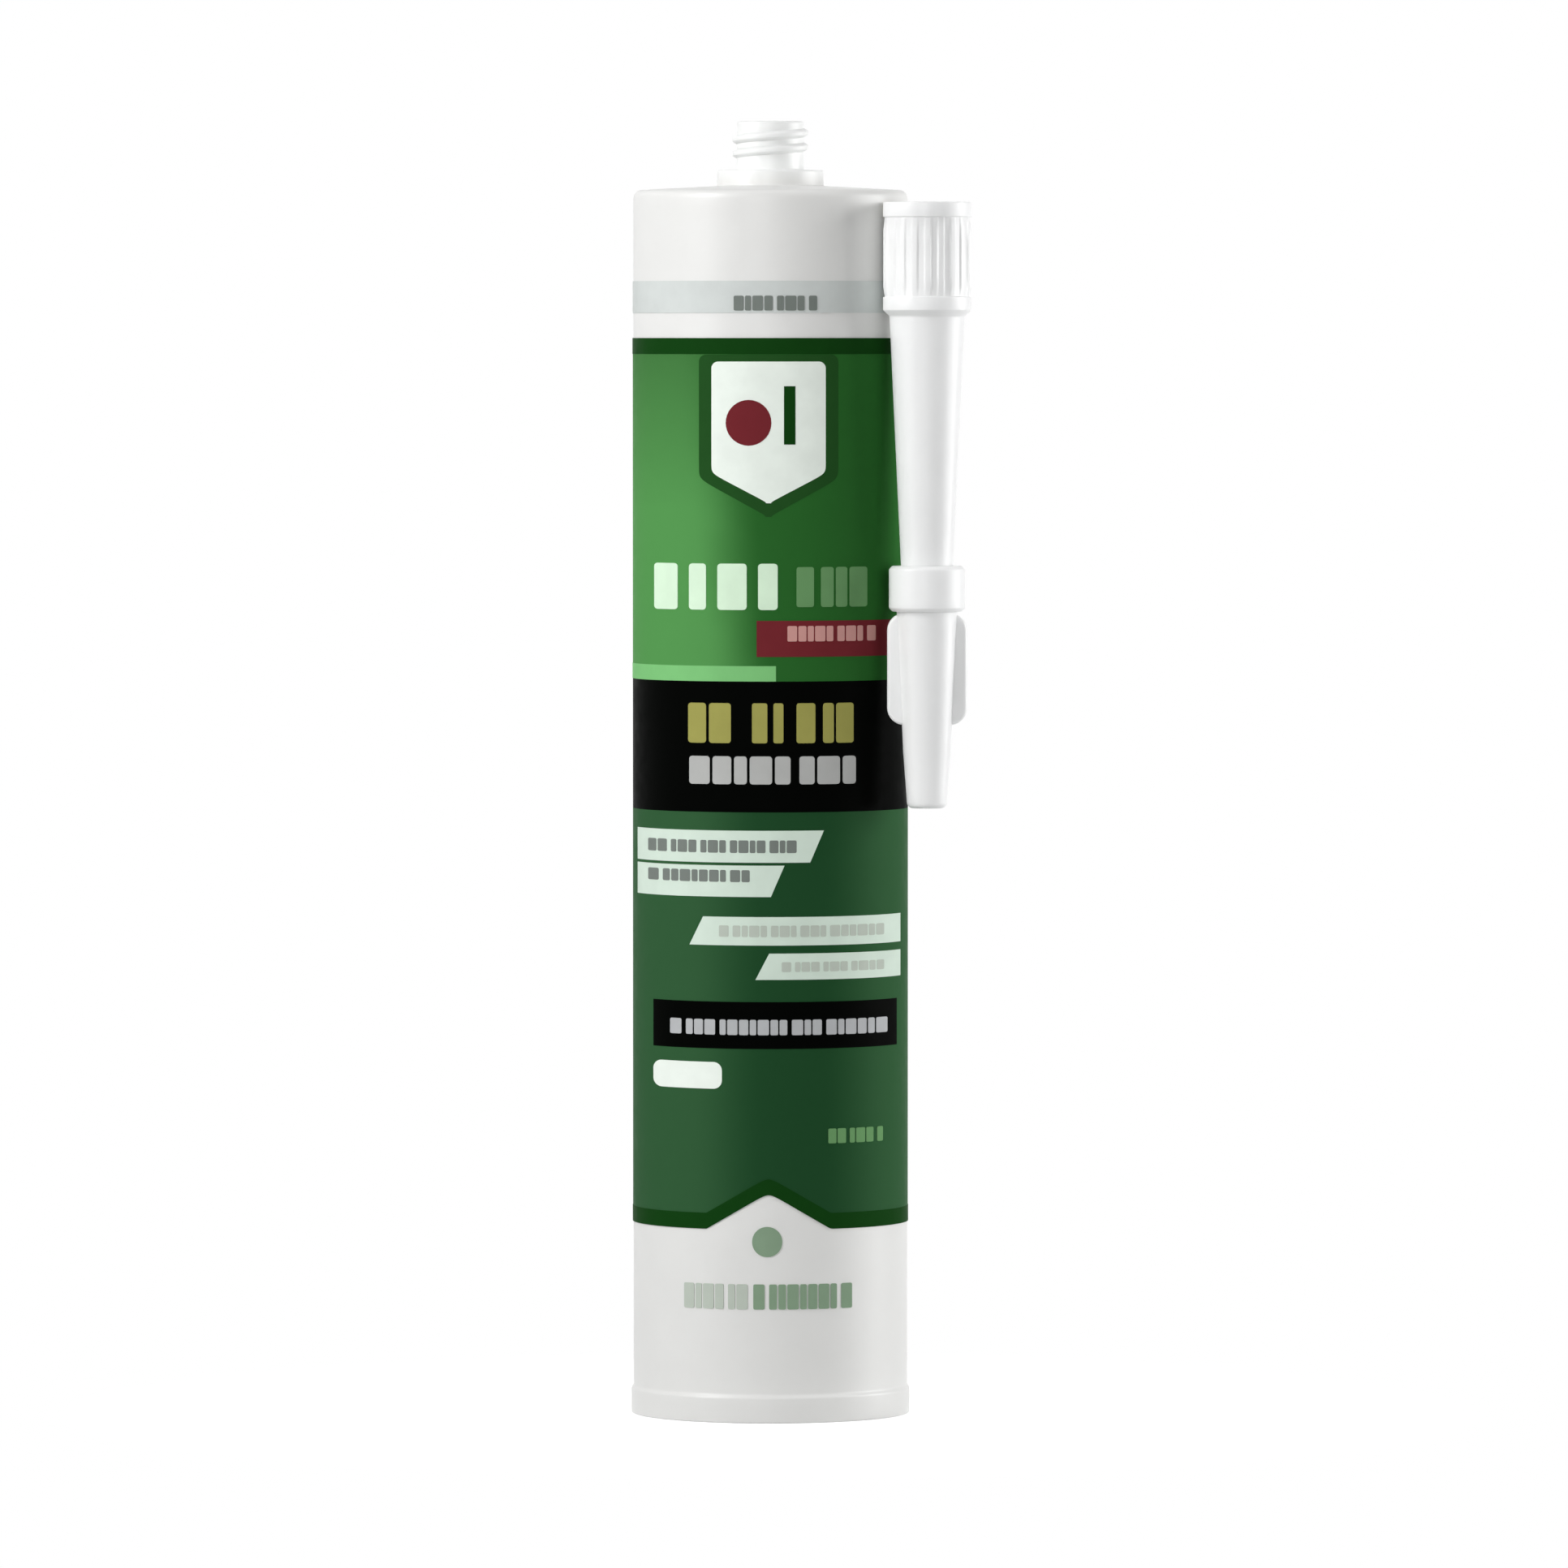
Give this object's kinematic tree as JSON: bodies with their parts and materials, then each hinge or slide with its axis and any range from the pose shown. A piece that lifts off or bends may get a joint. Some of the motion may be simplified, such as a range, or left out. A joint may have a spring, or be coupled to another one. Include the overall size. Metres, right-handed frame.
{
  "type": "caulk tube",
  "caption": "Upright sealant cartridge with a threaded neck, a sliding piston in its open rear end and an upside-down nozzle with a winged push-on cap fixed beside it.",
  "frame": {"origin": "centre of the open rear end, on the surface that the rear rim stands on", "axes": "+Z along the barrel from the open rear end to the neck, -Y towards the printed front, +X towards the nozzle's side"},
  "size_m": [0.0598, 0.0495, 0.2282],
  "materials": {
    "white_polyethylene": "satin",
    "natural_polyethylene": "satin",
    "nozzle_polyethylene": "satin",
    "sealant_paste": "satin",
    "hot_melt": "gloss",
    "grey_ink": "gloss",
    "green_ink": "gloss",
    "dark_green_ink": "gloss",
    "black_ink": "gloss",
    "red_ink": "gloss",
    "white_ink": "gloss"
  },
  "bodies": {
    "tube": {"cartridge": "white_polyethylene", "sealant": "sealant_paste", "nozzle": "nozzle_polyethylene", "hot_melt_dots": "hot_melt", "grey_band": "grey_ink", "green_upper": "green_ink", "badge": "white_ink", "badge_spot": "red_ink", "red_ribbon": "red_ink", "black_band": "black_ink", "green_lower": "dark_green_ink", "upper_strip_long": "white_ink", "upper_strip_short": "white_ink", "lower_strip_long": "white_ink", "lower_strip_short": "white_ink", "black_bar": "black_ink", "code_box": "white_ink"},
    "plunger": {"piston": "natural_polyethylene"},
    "cap": {"nozzle_cap": "nozzle_polyethylene"}
  },
  "joints": [
    {"name": "piston_slide", "type": "slide", "parent": "tube", "child": "plunger", "axis": [0, 0, 1], "range_m": [0, 0.1875], "deforming": ["sealant"]},
    {"name": "cap_pull", "type": "slide", "parent": "tube", "child": "cap", "axis": [0, 0, -1], "range_m": [0, 0.05]}
  ]
}
